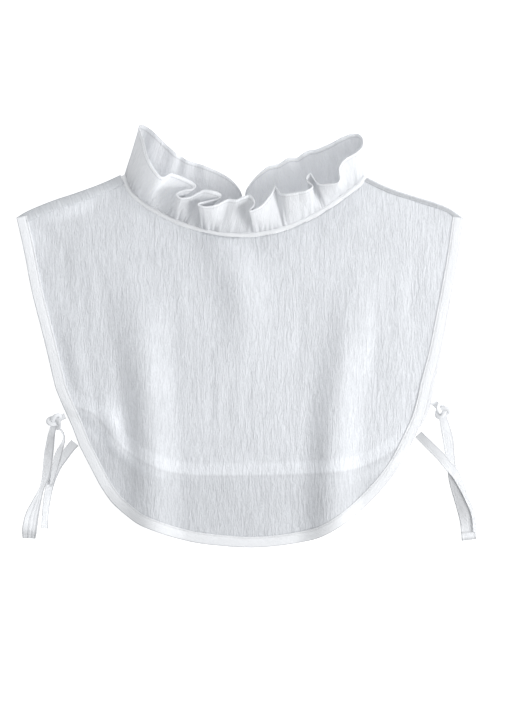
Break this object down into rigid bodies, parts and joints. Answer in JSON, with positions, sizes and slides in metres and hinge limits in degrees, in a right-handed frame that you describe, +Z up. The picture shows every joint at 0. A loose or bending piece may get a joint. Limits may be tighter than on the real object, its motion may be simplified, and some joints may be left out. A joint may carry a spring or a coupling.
{
  "type": "ruff collar",
  "caption": "White crinkled cotton ruffle collar with bound front and back bibs and knotted side ties, laid flat.",
  "frame": {"origin": "on the resting surface, under the middle of the garment without its ties", "axes": "+X to the right in the picture, across the shoulders; +Y from the hem to the collar; +Z up out of the surface"},
  "size_m": [0.394, 0.3651, 0.0437],
  "materials": {
    "front_panel": "matt crinkled cotton",
    "back_panel": "matt crinkled cotton",
    "front_binding": "matt folded cotton strip",
    "back_binding": "matt folded cotton strip",
    "neck_band": "matt folded cotton strip",
    "ruffle": "matt crinkled cotton",
    "tie": "matt folded cotton strip"
  },
  "bodies": {
    "root": {"front_panel": "front_panel", "back_panel": "back_panel", "front_binding": "front_binding", "back_binding": "back_binding", "neck_band": "neck_band", "ruffle": "ruffle", "tie_front_left": "tie", "tie_front_right": "tie", "tie_back_left": "tie", "tie_back_right": "tie", "tie_root_left": "tie", "tie_root_right": "tie", "knot_left": "tie", "knot_right": "tie"}
  },
  "joints": []
}
